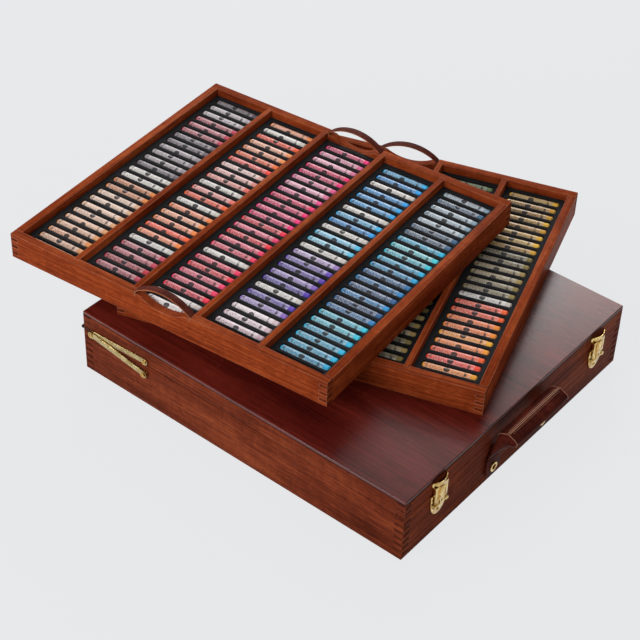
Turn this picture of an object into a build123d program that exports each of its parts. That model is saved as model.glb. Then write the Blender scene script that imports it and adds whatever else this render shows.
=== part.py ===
"""Wooden pastel case with a hinged lid and two lift-out trays of wrapped soft pastels.

Millimetres. The origin is the centre of the case's underside, +Z is up, the front with the
handle and the latches faces -Y, and the hinge runs along X at the back.
"""

from build123d import *
import math
import os

# ---- small rounds: pins, eyes and knuckles are prisms with this many sides ----
small_sides = 8
pin_running = 0.05

# ---- case ----
case_width = 436.0
case_depth = 481.0
case_wall = 12.5
base_height = 62.5
base_fingers = 13
base_panel = 5.0
base_rebate = 6.0
seam_gap = 0.3
lid_frame_height = 21.7
lid_fingers = 5
lid_panel = 4.0
lid_edge_round = 1.2

# ---- continuous hinge in the back seam ----
hinge_leaf = 0.8
hinge_leaf_width = 11.0
hinge_barrel_radius = 2.2
hinge_pin_radius = 1.0
hinge_offset = 2.4
hinge_knuckles = 5
hinge_knuckle_gap = 0.3

# ---- folding stays on the two sides ----
stay_pivot_from_hinge = 103.8
stay_lid_pivot_up = 5.0
stay_base_pivot_down = 12.8
stay_joint_from_hinge = 18.6
stay_joint_down = 0.5
stay_arm_width = 8.0
stay_arm_thick = 2.2
stay_layer_gap = 0.4
stay_eye_radius = 4.8
stay_pin_radius = 1.8
stay_flat_width = 4.0
stay_edge_thick = 1.2
stay_head_radius = 3.0
stay_head_height = 1.2

# ---- latches ----
latch_inset_left = 61.0
latch_inset_right = 57.0
latch_plate_width = 29.0
latch_plate_top = 61.5
latch_plate_straight = 11.5
latch_plate_round = 21.5
latch_plate_thick = 2.2
latch_pin_height = 46.0
latch_pin_radius = 0.9
latch_pin_out = 4.4
latch_barrel_radius = 1.9
latch_ear_width = 4.0
hasp_width = 17.0
hasp_wing_width = 23.0
hasp_thick = 1.0
hasp_top = 74.0
hasp_wing_low = 52.0
scoop_low = 72.0
scoop_top = 82.0
scoop_width = 26.0
scoop_axis_in = 10.0
scoop_flare = 2.6
hasp_tongue_width = 7.0
hasp_tongue_thick = 1.4
keeper_width = 12.0
keeper_low = 64.5
keeper_high = 71.5
keeper_thick = 1.2
keeper_bead_radius = 1.2
small_gap = 0.3
cut_margin = 1.0

# ---- handle ----
handle_eye_spacing = 101.0
handle_eye_height = 20.0
tab_width = 27.0
tab_thick = 3.4
tab_pivot_height = 38.3
tab_pivot_gap = 0.4
eyelet_outer = 6.5
eyelet_inner = 3.6
eyelet_height = 1.5
eyelet_sides = 16
grip_length = 104.0
grip_out = 18.3
grip_height = 71.5
grip_half_width = 13.8
grip_half_thick = 7.3
grip_seam_rise = 1.2
grip_seam_width = 7.0
cheek_step = 0.8
cheek_gap = 0.1
cheek_sides = 8

# ---- trays ----
tray_play_long = 4.0
tray_play_short = 2.0
tray_height = 34.7
tray_wall = 10.5
tray_fingers = 7
tray_panel = 3.5
tray_rebate = 5.0
tray_rest_gap = 0.3
columns = 5
divider_thick = 7.0
divider_housing = 3.0
foam_drop = 10.0
foam_fit = 0.2
notch_half_width = 35.5
notch_depth = 11.3
strap_thick = 2.0
strap_inset = 0.5
strap_rise = 15.5
strap_tail = 4.8
strap_play = 0.3
pressed_strap_gap = 0.7
pressed_strap_set_in = 1.0
lower_tray_place = (69.3, 54.9)
lower_tray_turn = -71.7
upper_tray_place = (-5.1, 138.1)
upper_tray_turn = -84.6

# ---- pastels ----
rows = 24
row_pitch = 15.45
column_shifts = (6.2, 5.0, 4.7, 3.5, 5.6)
pastel_length = 65.0
pastel_size = 11.0
pastel_sides = 6
pastel_axis_drop = 5.2
pocket_end_play = 0.5
pocket_side_play = 0.3

# ---- worked out from the sizes above ----
half_width = case_width / 2
half_depth = case_depth / 2
lid_low = base_height + seam_gap
lid_panel_low = lid_low + lid_frame_height
lid_top_height = lid_panel_low + lid_panel
hinge_y = half_depth + hinge_offset
hinge_z = base_height + seam_gap / 2
tray_long = case_depth - 2 * case_wall - tray_play_long
tray_short = case_width - 2 * case_wall - tray_play_short
lower_tray_low = lid_top_height + tray_rest_gap
upper_tray_low = lower_tray_low + tray_height + tray_rest_gap
column_width = (tray_long - 2 * tray_wall - (columns - 1) * divider_thick) / columns
column_pitch = column_width + divider_thick
strap_half_span = column_pitch / 2 - divider_thick / 2 - strap_play
foam_top = tray_height - foam_drop
pastel_radius = pastel_size / 2
pastel_axis = foam_top - pastel_axis_drop


def block(x0, x1, y0, y1, z0, z1):
    """A box from its two opposite corners."""
    return Pos((x0 + x1) / 2, (y0 + y1) / 2, (z0 + z1) / 2) * Box(x1 - x0, y1 - y0, z1 - z0)


def prism_x(radius, x0, x1, y, z, sides=small_sides):
    """A small round along X whose corners lie on the radius."""
    section = Plane.YZ * (Pos(y, z) * RegularPolygon(radius, sides))
    return Pos(x0, 0, 0) * extrude(section, x1 - x0)


def bore_x(pin_radius, x0, x1, y, z):
    """A bore along X whose flats clear a pin of that radius."""
    section = Plane.YZ * (Pos(y, z) * RegularPolygon(pin_radius + pin_running, small_sides, major_radius=False))
    return Pos(x0, 0, 0) * extrude(section, x1 - x0)


def save(node, pieces):
    """One node from one solid or from a list of separate solids."""
    shape = Compound(list(pieces)) if isinstance(pieces, (list, tuple)) else pieces
    export_step(shape, f"parts/{node}.step")


# ---------------------------------------------------------------- finger-jointed frames
def board_frame(width, depth, wall, low, high, fingers):
    """Front, back, left and right boards, whose ends interlock with square fingers."""
    x, y = width / 2, depth / 2
    step = (high - low) / fingers
    levels = [(low + i * step, low + (i + 1) * step) for i in range(fingers)]
    front = block(-x, x, -y, -y + wall, low, high)
    left = block(-x, -x + wall, -y, y, low, high)
    corners = [(sx, sy) for sx in (-1, 1) for sy in (-1, 1)]
    for index, (z0, z1) in enumerate(levels):
        if index % 2:
            front -= [block(-x, -x + wall, -y, -y + wall, z0, z1), block(x - wall, x, -y, -y + wall, z0, z1)]
        else:
            left -= [block(-x, -x + wall, -y, -y + wall, z0, z1), block(-x, -x + wall, y - wall, y, z0, z1)]
    return {"front": front, "back": mirror(front, Plane.XZ), "left": left, "right": mirror(left, Plane.YZ)}


def base_boards():
    """The deep half of the case: four boards round a rebated bottom panel."""
    boards = board_frame(case_width, case_depth, case_wall, 0, base_height, base_fingers)
    panel = bottom_sheet(case_width, case_depth, case_wall, base_panel, base_rebate)
    boards = {side: board - panel for side, board in boards.items()}
    leaf_rebate = block(
        -half_width, half_width, half_depth - hinge_leaf_width, half_depth, base_height - hinge_leaf, base_height
    )
    boards["back"] -= leaf_rebate
    return boards, panel


def bottom_sheet(width, depth, wall, thick, rebate):
    """A panel flush with the underside, let into a rebate round the boards."""
    x = width / 2 - wall + rebate
    y = depth / 2 - wall + rebate
    return block(-x, x, -y, y, 0, thick)


def lid_boards():
    """The shallow half: four boards under a full-size top panel with rounded arrises."""
    boards = board_frame(case_width, case_depth, case_wall, lid_low, lid_panel_low, lid_fingers)
    leaf_rebate = block(
        -half_width, half_width, half_depth - hinge_leaf_width, half_depth, lid_low, lid_low + hinge_leaf
    )
    boards["back"] -= leaf_rebate
    top = block(-half_width, half_width, -half_depth, half_depth, lid_panel_low, lid_top_height)
    top = fillet(top.edges().group_by(Axis.Z)[-1], lid_edge_round)
    return boards, top


# ---------------------------------------------------------------- continuous hinge
def knuckle_spans():
    """X spans of the knuckles, shared in turn by the base leaf and the lid leaf."""
    pitch = case_width / hinge_knuckles
    spans = []
    for index in range(hinge_knuckles):
        x0 = -half_width + index * pitch + hinge_knuckle_gap / 2
        spans.append((x0, x0 + pitch - hinge_knuckle_gap))
    return spans


def hinge_leaf_solid(first, z0, z1):
    """A leaf in its rebate, with a rolled knuckle on every second span."""
    leaf = block(-half_width, half_width, half_depth - hinge_leaf_width, half_depth, z0, z1)
    bore = bore_x(hinge_pin_radius, -half_width, half_width, hinge_y, hinge_z)
    for x0, x1 in knuckle_spans()[first::2]:
        leaf += block(x0, x1, half_depth, hinge_y, z0, z1)
        leaf += prism_x(hinge_barrel_radius, x0, x1, hinge_y, hinge_z)
    return leaf - bore


# ---------------------------------------------------------------- folding stays
def stay_points():
    """Base pivot, lid pivot and middle joint as (y, z)."""
    base = (hinge_y - stay_pivot_from_hinge, hinge_z - stay_base_pivot_down)
    lid = (hinge_y - stay_pivot_from_hinge, hinge_z + stay_lid_pivot_up)
    joint = (hinge_y - stay_joint_from_hinge, hinge_z - stay_joint_down)
    return base, lid, joint


def stay_arm(start, end, inner, outer):
    """A crowned bar between two eyes, from layer depth inner to outer, facing +X."""
    length = math.dist(start, end)
    thick = outer - inner
    half, flat_half = stay_arm_width / 2, stay_flat_width / 2
    crown = [(-half, 0), (-half, stay_edge_thick), (-flat_half, thick), (flat_half, thick), (half, stay_edge_thick)]
    bar = extrude(Plane.YZ * make_face(Polyline(*crown, (half, 0), close=True)), length)
    eye = extrude(RegularPolygon(stay_eye_radius, small_sides), thick)
    flat = bar + [Pos(x, 0, 0) * eye for x in (0, length)]
    along = (0, end[0] - start[0], end[1] - start[1])
    return Plane(origin=(inner, *start), x_dir=along, z_dir=(1, 0, 0)) * flat


def stay_set():
    """The arms, rivet head and pivot screws of the right-hand side, facing +X."""
    base, lid, joint = stay_points()
    first = half_width + small_gap
    second = first + stay_arm_thick
    third = second + stay_layer_gap
    fourth = third + stay_arm_thick
    lid_arm = stay_arm(lid, joint, first, second) - bore_x(stay_pin_radius, first, second, *lid)
    base_arm = stay_arm(base, joint, third, fourth) + prism_x(stay_eye_radius, first, third, *base)
    base_arm -= bore_x(stay_pin_radius, first, fourth, *base)
    return {
        "base_arm": base_arm,
        "lid_arm": lid_arm,
        "rivet": prism_x(stay_head_radius, fourth, fourth + stay_head_height, *joint),
        "base_screw": pivot_screw(fourth + small_gap, *base),
        "lid_screw": pivot_screw(second + small_gap, *lid),
    }


def pivot_screw(head_from, y, z):
    """A shouldered screw from the case's right side, whose head starts at head_from."""
    head = prism_x(stay_head_radius, head_from, head_from + stay_head_height, y, z)
    return prism_x(stay_pin_radius, half_width, head_from, y, z) + head


# ---------------------------------------------------------------- latches
def facing(depth_out):
    """Y of a point that stands depth_out in front of the case's front face."""
    return -half_depth - depth_out


def front_slab(width, z0, z1, out0, out1):
    """A slab on the front face, centred on x = 0."""
    return block(-width / 2, width / 2, facing(out1), facing(out0), z0, z1)


def latch_plate():
    """Shield-shaped plate with a rounded foot and two ears beside the hasp's barrel."""
    straight_low = latch_plate_top - latch_plate_straight
    outline = Plane.XZ * (Pos(0, straight_low) * Ellipse(latch_plate_width / 2, latch_plate_round))
    plate = Pos(0, -half_depth, 0) * extrude(outline, latch_plate_thick)
    above = straight_low + latch_plate_round + cut_margin
    plate -= front_slab(latch_plate_width, straight_low, above, 0, latch_plate_thick)
    plate += front_slab(latch_plate_width, straight_low, latch_plate_top, 0, latch_plate_thick)
    inner = hasp_width / 2 + small_gap
    for side in (-1, 1):
        x0, x1 = sorted((side * inner, side * (inner + latch_ear_width)))
        low, high = latch_pin_height - latch_barrel_radius, latch_pin_height + latch_barrel_radius
        plate += block(x0, x1, facing(latch_pin_out + latch_barrel_radius), facing(0), low, high)
    return plate


def latch_pin():
    """The pin between the two ears, through the hasp's rolled edge."""
    reach = hasp_width / 2 + small_gap
    return prism_x(latch_pin_radius, -reach, reach, facing(latch_pin_out), latch_pin_height)


def scoop(front):
    """Finger scoop: part of a flared cone whose lower edge meets the flap's front face."""
    foot_radius = scoop_axis_in + front
    rim_radius = foot_radius + scoop_flare
    rise = scoop_top - scoop_low
    shell = Cone(foot_radius, rim_radius, rise) - Cone(foot_radius - hasp_thick, rim_radius - hasp_thick, rise)
    shell = Pos(0, facing(-scoop_axis_in), (scoop_low + scoop_top) / 2) * shell
    return shell & front_slab(scoop_width, scoop_low, scoop_top, small_gap, front + scoop_flare + cut_margin)


def hasp():
    """Sprung flap: rolled lower edge, flanged body over the keeper, raised tongue and finger scoop."""
    back = latch_pin_out - hasp_thick / 2
    front = back + hasp_thick
    flap = prism_x(latch_barrel_radius, -hasp_width / 2, hasp_width / 2, facing(latch_pin_out), latch_pin_height)
    flap += front_slab(hasp_width, latch_pin_height, hasp_wing_low, back, front)
    flap += front_slab(hasp_wing_width, hasp_wing_low, hasp_top, back, front) + scoop(front)
    flange_low = latch_plate_top + small_gap
    for side in (-1, 1):
        x0, x1 = sorted((side * hasp_wing_width / 2, side * (hasp_wing_width / 2 - hasp_thick)))
        flap += block(x0, x1, facing(back), facing(small_gap), flange_low, hasp_top)
    flap += front_slab(hasp_tongue_width, latch_pin_height, scoop_low, front, front + hasp_tongue_thick)
    return flap - bore_x(latch_pin_radius, -hasp_width, hasp_width, facing(latch_pin_out), latch_pin_height)


def keeper():
    """Strike plate on the lid with a rolled bead under the hasp."""
    plate = front_slab(keeper_width, keeper_low, keeper_high, 0, keeper_thick)
    middle = (keeper_low + keeper_high) / 2
    return plate + prism_x(keeper_bead_radius, -keeper_width / 4, keeper_width / 4, facing(keeper_thick), middle)


# ---------------------------------------------------------------- handle
def handle_tab():
    """Leather foot with a half-round end, held by an eyelet."""
    low = handle_eye_height
    high = tab_pivot_height - tab_thick / 2 - tab_pivot_gap
    foot = Plane.XZ * (Pos(0, low) * Circle(tab_width / 2))
    tab = Pos(0, -half_depth, 0) * extrude(foot, tab_thick)
    return tab + block(-tab_width / 2, tab_width / 2, facing(tab_thick), facing(0), low, high)


def eyelet():
    """Brass ring on the leather foot."""
    ring = RegularPolygon(eyelet_outer, eyelet_sides) - RegularPolygon(eyelet_inner, eyelet_sides)
    return Pos(0, facing(tab_thick), handle_eye_height) * extrude(Plane.XZ * ring, eyelet_height)


def handle_grip():
    """The padded roll between the two cheeks, with a raised sewn seam along its top."""
    half = grip_length / 2
    seam_out = grip_out + grip_seam_width / 2
    seam_top = grip_height + grip_half_thick + grip_seam_rise
    seam = block(-half, half, facing(seam_out), facing(seam_out - grip_seam_width), grip_height, seam_top)
    oval = Plane.YZ * (Pos(facing(grip_out), grip_height) * Ellipse(grip_half_width, grip_half_thick))
    return Pos(-half, 0, 0) * extrude(oval, grip_length) + seam


def round_points(half_a, half_b):
    """Corners of an oval about (0, 0), as (a, b)."""
    turns = [math.tau * (index + 0.5) / cheek_sides for index in range(cheek_sides)]
    return [(half_a * math.cos(turn), half_b * math.sin(turn)) for turn in turns]


def handle_cheek():
    """Leather shoulder that narrows from the grip's right end to the pivot above the foot."""
    pivot_out = tab_thick / 2 + small_gap
    eye_x = handle_eye_spacing / 2
    cheek_x = grip_length / 2 + cheek_gap
    end = round_points(grip_half_width - cheek_step, grip_half_thick - cheek_step)
    foot = round_points(tab_thick / 2, tab_width / 2)
    top = Wire.make_polygon([(cheek_x, facing(grip_out) + a, grip_height + b) for a, b in end])
    low = Wire.make_polygon([(eye_x + b, facing(pivot_out) + a, tab_pivot_height) for a, b in foot])
    grip_low = grip_height - grip_half_thick - cheek_gap
    shoulder = Solid.make_loft([top, low], ruled=True)
    shoulder -= block(0, cheek_x, facing(2 * grip_out), facing(0), grip_low, grip_height + grip_half_thick)
    inner_x, outer_x = eye_x - tab_width / 2, eye_x + tab_width / 2
    return shoulder + prism_x(tab_thick / 2, inner_x, outer_x, facing(pivot_out), tab_pivot_height)


# ---------------------------------------------------------------- trays
def notch_radius():
    """Radius of the finger notch's arc from its width and depth."""
    return (notch_half_width**2 + notch_depth**2) / (2 * notch_depth)


def notch_half_at(drop):
    """Half the notch's width at that drop below the rim."""
    return math.sqrt(notch_radius() ** 2 - (notch_radius() - notch_depth + drop) ** 2)


def strap_slots(y0, y1):
    """What the notch and the strap's two slots take out of a tray's end board."""
    radius = notch_radius()
    notch = Pos(0, (y0 + y1) / 2, tray_height - notch_depth + radius) * Rot(90, 0, 0) * Cylinder(radius, y1 - y0)
    cuts = [notch]
    outer = strap_half_span + strap_play
    inner = strap_half_span - strap_thick - strap_play
    for side in (-1, 1):
        x0, x1 = sorted((side * inner, side * outer))
        cuts.append(block(x0, x1, y0, y1, tray_height - strap_tail - strap_play, tray_height))
    land = tray_height - strap_thick - strap_play
    cuts.append(block(-outer, outer, y0, y1, land, tray_height))
    return cuts


def standing_strap():
    """A leather loop that stands over the notch, its ends let into the board."""
    rim, low = tray_height, tray_height - strap_tail
    out, inn = strap_half_span, strap_half_span - strap_thick
    return strap_band([
        Polyline((-inn, rim), (-inn, low), (-out, low), (-out, rim)),
        ThreePointArc((-out, rim), (0, rim + strap_rise), (out, rim)),
        Polyline((out, rim), (out, low), (inn, low), (inn, rim)),
        ThreePointArc((inn, rim), (0, rim + strap_rise - strap_thick), (-inn, rim)),
    ])


def pressed_strap():
    """The same loop pressed down into its notch by the tray above."""
    rim, low = tray_height - strap_play, tray_height - strap_tail
    out, inn = strap_half_span, strap_half_span - strap_thick
    edge = notch_half_at(tray_height - rim + strap_thick) - pressed_strap_set_in
    under = rim - strap_thick
    dip = tray_height - notch_depth + pressed_strap_gap
    return strap_band([
        Polyline((-edge, rim), (-out, rim), (-out, low), (-inn, low), (-inn, under), (-edge, under)),
        ThreePointArc((-edge, under), (0, dip), (edge, under)),
        Polyline((edge, under), (inn, under), (inn, low), (out, low), (out, rim), (edge, rim)),
        ThreePointArc((edge, rim), (0, dip + strap_thick), (-edge, rim)),
    ])


def strap_band(outline):
    """A strap from its outline in side view, as wide as the board less a small inset."""
    side_view = Plane.XZ * make_face([edge for part in outline for edge in part.edges()])
    width = tray_wall - 2 * strap_inset
    return Pos(0, width / 2, 0) * extrude(side_view, width)


def tray_boards():
    """Two notched end boards, two side boards and the rebated bottom panel."""
    boards = board_frame(tray_long, tray_short, tray_wall, 0, tray_height, tray_fingers)
    panel = bottom_sheet(tray_long, tray_short, tray_wall, tray_panel, tray_rebate)
    boards = {side: board - panel for side, board in boards.items()}
    half = tray_short / 2
    for side, sign in (("front", -1), ("back", 1)):
        y0, y1 = sorted((sign * half, sign * (half - tray_wall)))
        boards[side] -= strap_slots(y0, y1)
        g0, g1 = sorted((sign * (half - tray_wall), sign * (half - tray_wall + divider_housing)))
        for x in divider_places():
            x0, x1 = x - divider_thick / 2, x + divider_thick / 2
            boards[side] -= block(x0, x1, g0, g1, tray_panel, tray_height)
    return boards, panel


def divider_places():
    """Local x of the dividers' centres."""
    return [(index - (columns - 2) / 2) * column_pitch for index in range(columns - 1)]


def column_places():
    """Local x of the columns' centres."""
    return [(index - (columns - 1) / 2) * column_pitch for index in range(columns)]


def row_places(shift):
    """Local y of one column's pastel axes, from the front row to the back row."""
    return [(index - (rows - 1) / 2) * row_pitch + shift for index in range(rows)]


def dividers():
    """Partitions flush with the rim, housed in the end boards."""
    half = tray_short / 2 - tray_wall + divider_housing
    return [block(x - divider_thick / 2, x + divider_thick / 2, -half, half, tray_panel, tray_height)
            for x in divider_places()]


def foam_insert(shift):
    """One column's black foam, with a deep pocket for each pastel."""
    half_x = column_width / 2 - foam_fit
    half_y = tray_short / 2 - tray_wall - foam_fit
    pocket_x = pastel_length / 2 + pocket_end_play
    pocket_y = pastel_radius + pocket_side_play
    floor = pastel_axis - pastel_radius - small_gap
    pockets = [block(-pocket_x, pocket_x, y - pocket_y, y + pocket_y, floor, foam_top) for y in row_places(shift)]
    return block(-half_x, half_x, -half_y, half_y, tray_panel, foam_top) - pockets


def pastel():
    """One wrapped stick along x."""
    return prism_x(pastel_radius, -pastel_length / 2, pastel_length / 2, 0, 0, pastel_sides)


def tray_pieces(front_strap):
    """Every piece of one tray in its own frame, by name."""
    boards, panel = tray_boards()
    pieces = {f"{side}_board": board for side, board in boards.items()}
    pieces["bottom"] = panel
    pieces["dividers"] = dividers()
    pieces["foam"] = [Pos(x, 0, 0) * foam_insert(shift) for x, shift in zip(column_places(), column_shifts)]
    middle = tray_short / 2 - tray_wall / 2
    pieces["straps"] = [Pos(0, -middle, 0) * front_strap, Pos(0, middle, 0) * standing_strap()]
    stick = pastel()
    for index, (x, shift) in enumerate(zip(column_places(), column_shifts)):
        pieces[f"pastels_{index + 1}"] = [Pos(x, y, pastel_axis) * stick for y in row_places(shift)]
    return pieces


def save_tray(name, pieces, place, turn, low):
    """Puts a tray's pieces where the tray stands and saves them."""
    stand = Pos(place[0], place[1], low) * Rot(0, 0, turn)
    for piece, solids in pieces.items():
        if isinstance(solids, list):
            save(f"{name}_{piece}", [stand * solid for solid in solids])
        else:
            save(f"{name}_{piece}", stand * solids)


def latch_places():
    """X of the left and the right latch."""
    return latch_inset_left - half_width, half_width - latch_inset_right


def both_latches(piece):
    """The same piece at the left and the right latch."""
    return [Pos(x, 0, 0) * piece for x in latch_places()]


def save_case():
    """Base, lid and hinge."""
    boards, panel = base_boards()
    for side, board in boards.items():
        save(f"base_{side}_board", board)
    save("base_bottom", panel)
    boards, top = lid_boards()
    for side, board in boards.items():
        save(f"lid_{side}_board", board)
    save("lid_top", top)
    save("hinge_base_leaf", hinge_leaf_solid(0, base_height - hinge_leaf, base_height))
    save("hinge_lid_leaf", hinge_leaf_solid(1, lid_low, lid_low + hinge_leaf))
    save("hinge_pin", prism_x(hinge_pin_radius, -half_width, half_width, hinge_y, hinge_z))


def save_hardware():
    """Latches, stays and handle."""
    save("latch_plates", both_latches(latch_plate()))
    save("latch_pins", both_latches(latch_pin()))
    save("latch_keepers", both_latches(keeper()))
    flap = hasp()
    for name, x in zip(("left", "right"), latch_places()):
        save(f"latch_{name}_hasp", Pos(x, 0, 0) * flap)
    right = stay_set()
    left = {name: mirror(piece, Plane.YZ) for name, piece in right.items()}
    for name in ("base_arm", "lid_arm", "rivet"):
        save(f"stay_left_{name}", left[name])
        save(f"stay_right_{name}", right[name])
    save("stay_base_screws", [left["base_screw"], right["base_screw"]])
    save("stay_lid_screws", [left["lid_screw"], right["lid_screw"]])
    half_eyes = handle_eye_spacing / 2
    save("handle_tabs", [Pos(side * half_eyes, 0, 0) * handle_tab() for side in (-1, 1)])
    save("handle_eyelets", [Pos(side * half_eyes, 0, 0) * eyelet() for side in (-1, 1)])
    cheek = handle_cheek()
    save("handle_cheeks", [mirror(cheek, Plane.YZ), cheek])
    save("handle_grip", handle_grip())


def main():
    os.makedirs("parts", exist_ok=True)
    save_case()
    save_hardware()
    save_tray("lower_tray", tray_pieces(pressed_strap()), lower_tray_place, lower_tray_turn, lower_tray_low)
    save_tray("upper_tray", tray_pieces(standing_strap()), upper_tray_place, upper_tray_turn, upper_tray_low)


main()
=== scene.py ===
"""Looks of a wooden pastel case: stained hardwood, brass fittings, leather handle and straps, two trays
of wrapped soft pastels in black foam."""

import bmesh
import bpy
import math
import random
from mathutils import Matrix, Vector


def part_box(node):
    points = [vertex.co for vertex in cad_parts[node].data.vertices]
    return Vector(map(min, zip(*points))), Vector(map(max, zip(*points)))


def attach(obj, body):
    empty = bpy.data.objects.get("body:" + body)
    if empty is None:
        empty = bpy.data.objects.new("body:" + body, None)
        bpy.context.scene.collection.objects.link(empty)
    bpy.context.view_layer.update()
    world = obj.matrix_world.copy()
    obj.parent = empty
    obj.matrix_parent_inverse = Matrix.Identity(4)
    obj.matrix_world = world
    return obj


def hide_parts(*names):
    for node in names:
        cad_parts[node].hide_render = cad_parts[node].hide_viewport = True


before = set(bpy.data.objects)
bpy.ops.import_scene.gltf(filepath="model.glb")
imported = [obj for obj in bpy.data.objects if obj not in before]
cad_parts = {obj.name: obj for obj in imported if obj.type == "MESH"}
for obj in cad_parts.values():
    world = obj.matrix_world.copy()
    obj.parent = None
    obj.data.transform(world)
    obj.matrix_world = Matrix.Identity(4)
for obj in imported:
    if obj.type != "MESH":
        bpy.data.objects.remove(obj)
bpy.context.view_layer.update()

MM = 0.001
SIDES = ("front", "back", "left", "right")

# ---- camera: fitted to the photograph's corners ----
CAMERA_PLACE = Vector((-1.28670, -0.94735, 1.41707))
CAMERA_AZIMUTH = math.radians(-52.1321)
CAMERA_ELEVATION = math.radians(40.1906)
CAMERA_ROLL = math.radians(2.21528)
CAMERA_LENS = 97.595
CAMERA_SENSOR = 36.0

# ---- sizes that the frame doesn't give ----
BOARD_ARRIS = 0.45 * MM
TRAY_ARRIS = 0.5 * MM
LID_ARRIS = 0.7 * MM
STICK_RADIUS = 5.5 * MM
STICK_LENGTH = 65.0 * MM
STICK_ROWS = 24  # as in the solids; one more lies tucked under the front board
STICK_SIDES = 14
STICK_SLIP = 0.25 * MM
STICK_TAPER = 1.4 * MM
STICK_TIP = 0.76
PAPER_STEP = 0.25 * MM
FRONT_ROW_GAP = 0.15 * MM
PAPER_START = -30.0 * MM
PAPER_END = 25.0 * MM
POCKET_HALF = 33.0 * MM
POCKET_WIDE = 5.8 * MM
POCKET_ROUND = 3.4 * MM
FOAM_ARRIS = 0.6 * MM
PAPER_PALE = 0.08
STRAP_ARRIS = 0.35 * MM
FITTING_ARRIS = 0.18 * MM
RIB_PITCH = 1.8 * MM
LATCH_PLATE_THICK = 2.2 * MM
LATCH_PLATE_WIDTH = 29.0 * MM
LATCH_FLAP_OUT = 4.6 * MM
HOLE_RADIUS = 1.5 * MM
HOLE_LENGTH = 4.0 * MM
HOLE_IN = 1.6 * MM
HOLE_RISE = 7.0 * MM
GROOVE_SPREAD = 6.6 * MM
GROOVE_HALF = 1.2 * MM
GROOVE_OVER = 1.0 * MM
GROOVE_DEEP = 0.55 * MM
GROOVE_FOOT = 11.0 * MM
GROOVE_TOP = 26.0 * MM
CUP_RADIUS = 1.9 * MM
CUP_DEEP = 1.0 * MM
CUP_ARRIS = 0.12 * MM
CUP_SLOT_HALF = Vector((0.95, 1.7, 0.45)) * MM
SCREW_RADIUS = 1.9 * MM
SCREW_THICK = 1.2 * MM
SCREW_RIM = 0.5 * MM
SCREW_CROWN = 0.45 * MM
SCREW_RISE = 5.2 * MM
SCREW_PROUD = 0.4 * MM
SCREW_TURN = 0.6
SCREW_SLOT = (Vector((-2.4, -1.5, -0.3)) * MM, Vector((2.4, -0.55, 0.3)) * MM)
GRIP_THICK = 7.3 * MM
GRIP_SLACK = 0.2 * MM
GRIP_RINGS = 14
GRIP_CROWN = 0.09
GRIP_RIDGE = ((4.6 * MM, 0.5 * MM), (2.6 * MM, 0.8 * MM), (0.7 * MM, 0.7 * MM))  # half width, lift
PIPING = 0.55 * MM
PIPING_BEAD = ((0.05, 1.035), (0.45, 1.03), (0.45, 0.97), (0.05, 0.9))  # step out in pipings, growth
RIDGE_RADIUS = 0.36 * MM
RIDGE_SPREAD = 0.95 * MM
RIDGE_SUNK = 0.25 * MM
RIDGE_SHORT = 3.0 * MM
STITCH_PITCH = 3.1 * MM
STITCH_RADIUS = 0.34 * MM
STITCH_LENGTH = 2.0 * MM
STITCH_SPREAD = 3.1 * MM
STITCH_PROUD = 0.02 * MM
STITCH_ENDS = 8.0 * MM
CHEEK_GRAIN = 0.75 * MM
FOOT_ARRIS = 0.6 * MM
BRASS_NODES = {
    "latch_plates": "case_base", "latch_pins": "case_base", "latch_keepers": "lid",
    "latch_left_hasp": "latch_left", "latch_right_hasp": "latch_right",
    "stay_base_screws": "case_base", "stay_lid_screws": "lid", "handle_eyelets": "case_base",
    "stay_left_base_arm": "stay_left_base", "stay_right_base_arm": "stay_right_base",
    "stay_left_lid_arm": "stay_left_lid", "stay_right_lid_arm": "stay_right_lid",
    "stay_left_rivet": "stay_left_base", "stay_right_rivet": "stay_right_base",
}


# ================================================================ working by hand in code
def only(piece):
    """Object mode, with this piece alone selected and active."""
    if bpy.context.object and bpy.context.object.mode != "OBJECT":
        bpy.ops.object.mode_set(mode="OBJECT")
    bpy.ops.object.select_all(action="DESELECT")
    piece.select_set(True)
    bpy.context.view_layer.objects.active = piece
    return piece


def nothing():
    """Object mode with nothing selected."""
    if bpy.context.object and bpy.context.object.mode != "OBJECT":
        bpy.ops.object.mode_set(mode="OBJECT")
    bpy.ops.object.select_all(action="DESELECT")


def editing(piece, kind="FACE"):
    """Edit mode on one piece, with nothing selected in its mesh."""
    only(piece)
    bpy.ops.object.mode_set(mode="EDIT")
    bpy.ops.mesh.select_mode(type=kind)
    bpy.ops.mesh.select_all(action="DESELECT")


def done():
    bpy.ops.object.mode_set(mode="OBJECT")


def pick_faces(piece, test):
    """Selects the faces that pass the test, in edit mode."""
    mesh = bmesh.from_edit_mesh(piece.data)
    for face in mesh.faces:
        face.select_set(bool(test(face)))
    mesh.select_flush_mode()
    bmesh.update_edit_mesh(piece.data)


def pick_edges(piece, test):
    """Selects the edges that pass the test, in edit mode."""
    mesh = bmesh.from_edit_mesh(piece.data)
    for face in mesh.faces:
        face.select_set(False)
    for edge in mesh.edges:
        edge.select_set(bool(test(edge)))
    bmesh.update_edit_mesh(piece.data)


def pick_verts(piece, test):
    """Selects the vertices that pass the test, in edit mode."""
    mesh = bmesh.from_edit_mesh(piece.data)
    for vert in mesh.verts:
        vert.select_set(bool(test(vert.co)))
    mesh.select_flush_mode()
    bmesh.update_edit_mesh(piece.data)


def named(name):
    """Names the piece that was just added and puts its place in its mesh."""
    piece = bpy.context.object
    piece.name = name
    piece.data.name = name
    bpy.ops.object.transform_apply(location=True, rotation=True, scale=True)
    return piece


def new_cube(name, low, high):
    """A block between two corners, ready to be shaped."""
    nothing()
    low, high = Vector(low), Vector(high)
    bpy.ops.mesh.primitive_cube_add(size=1, location=(low + high) / 2)
    bpy.context.object.scale = high - low
    return named(name)


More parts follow.
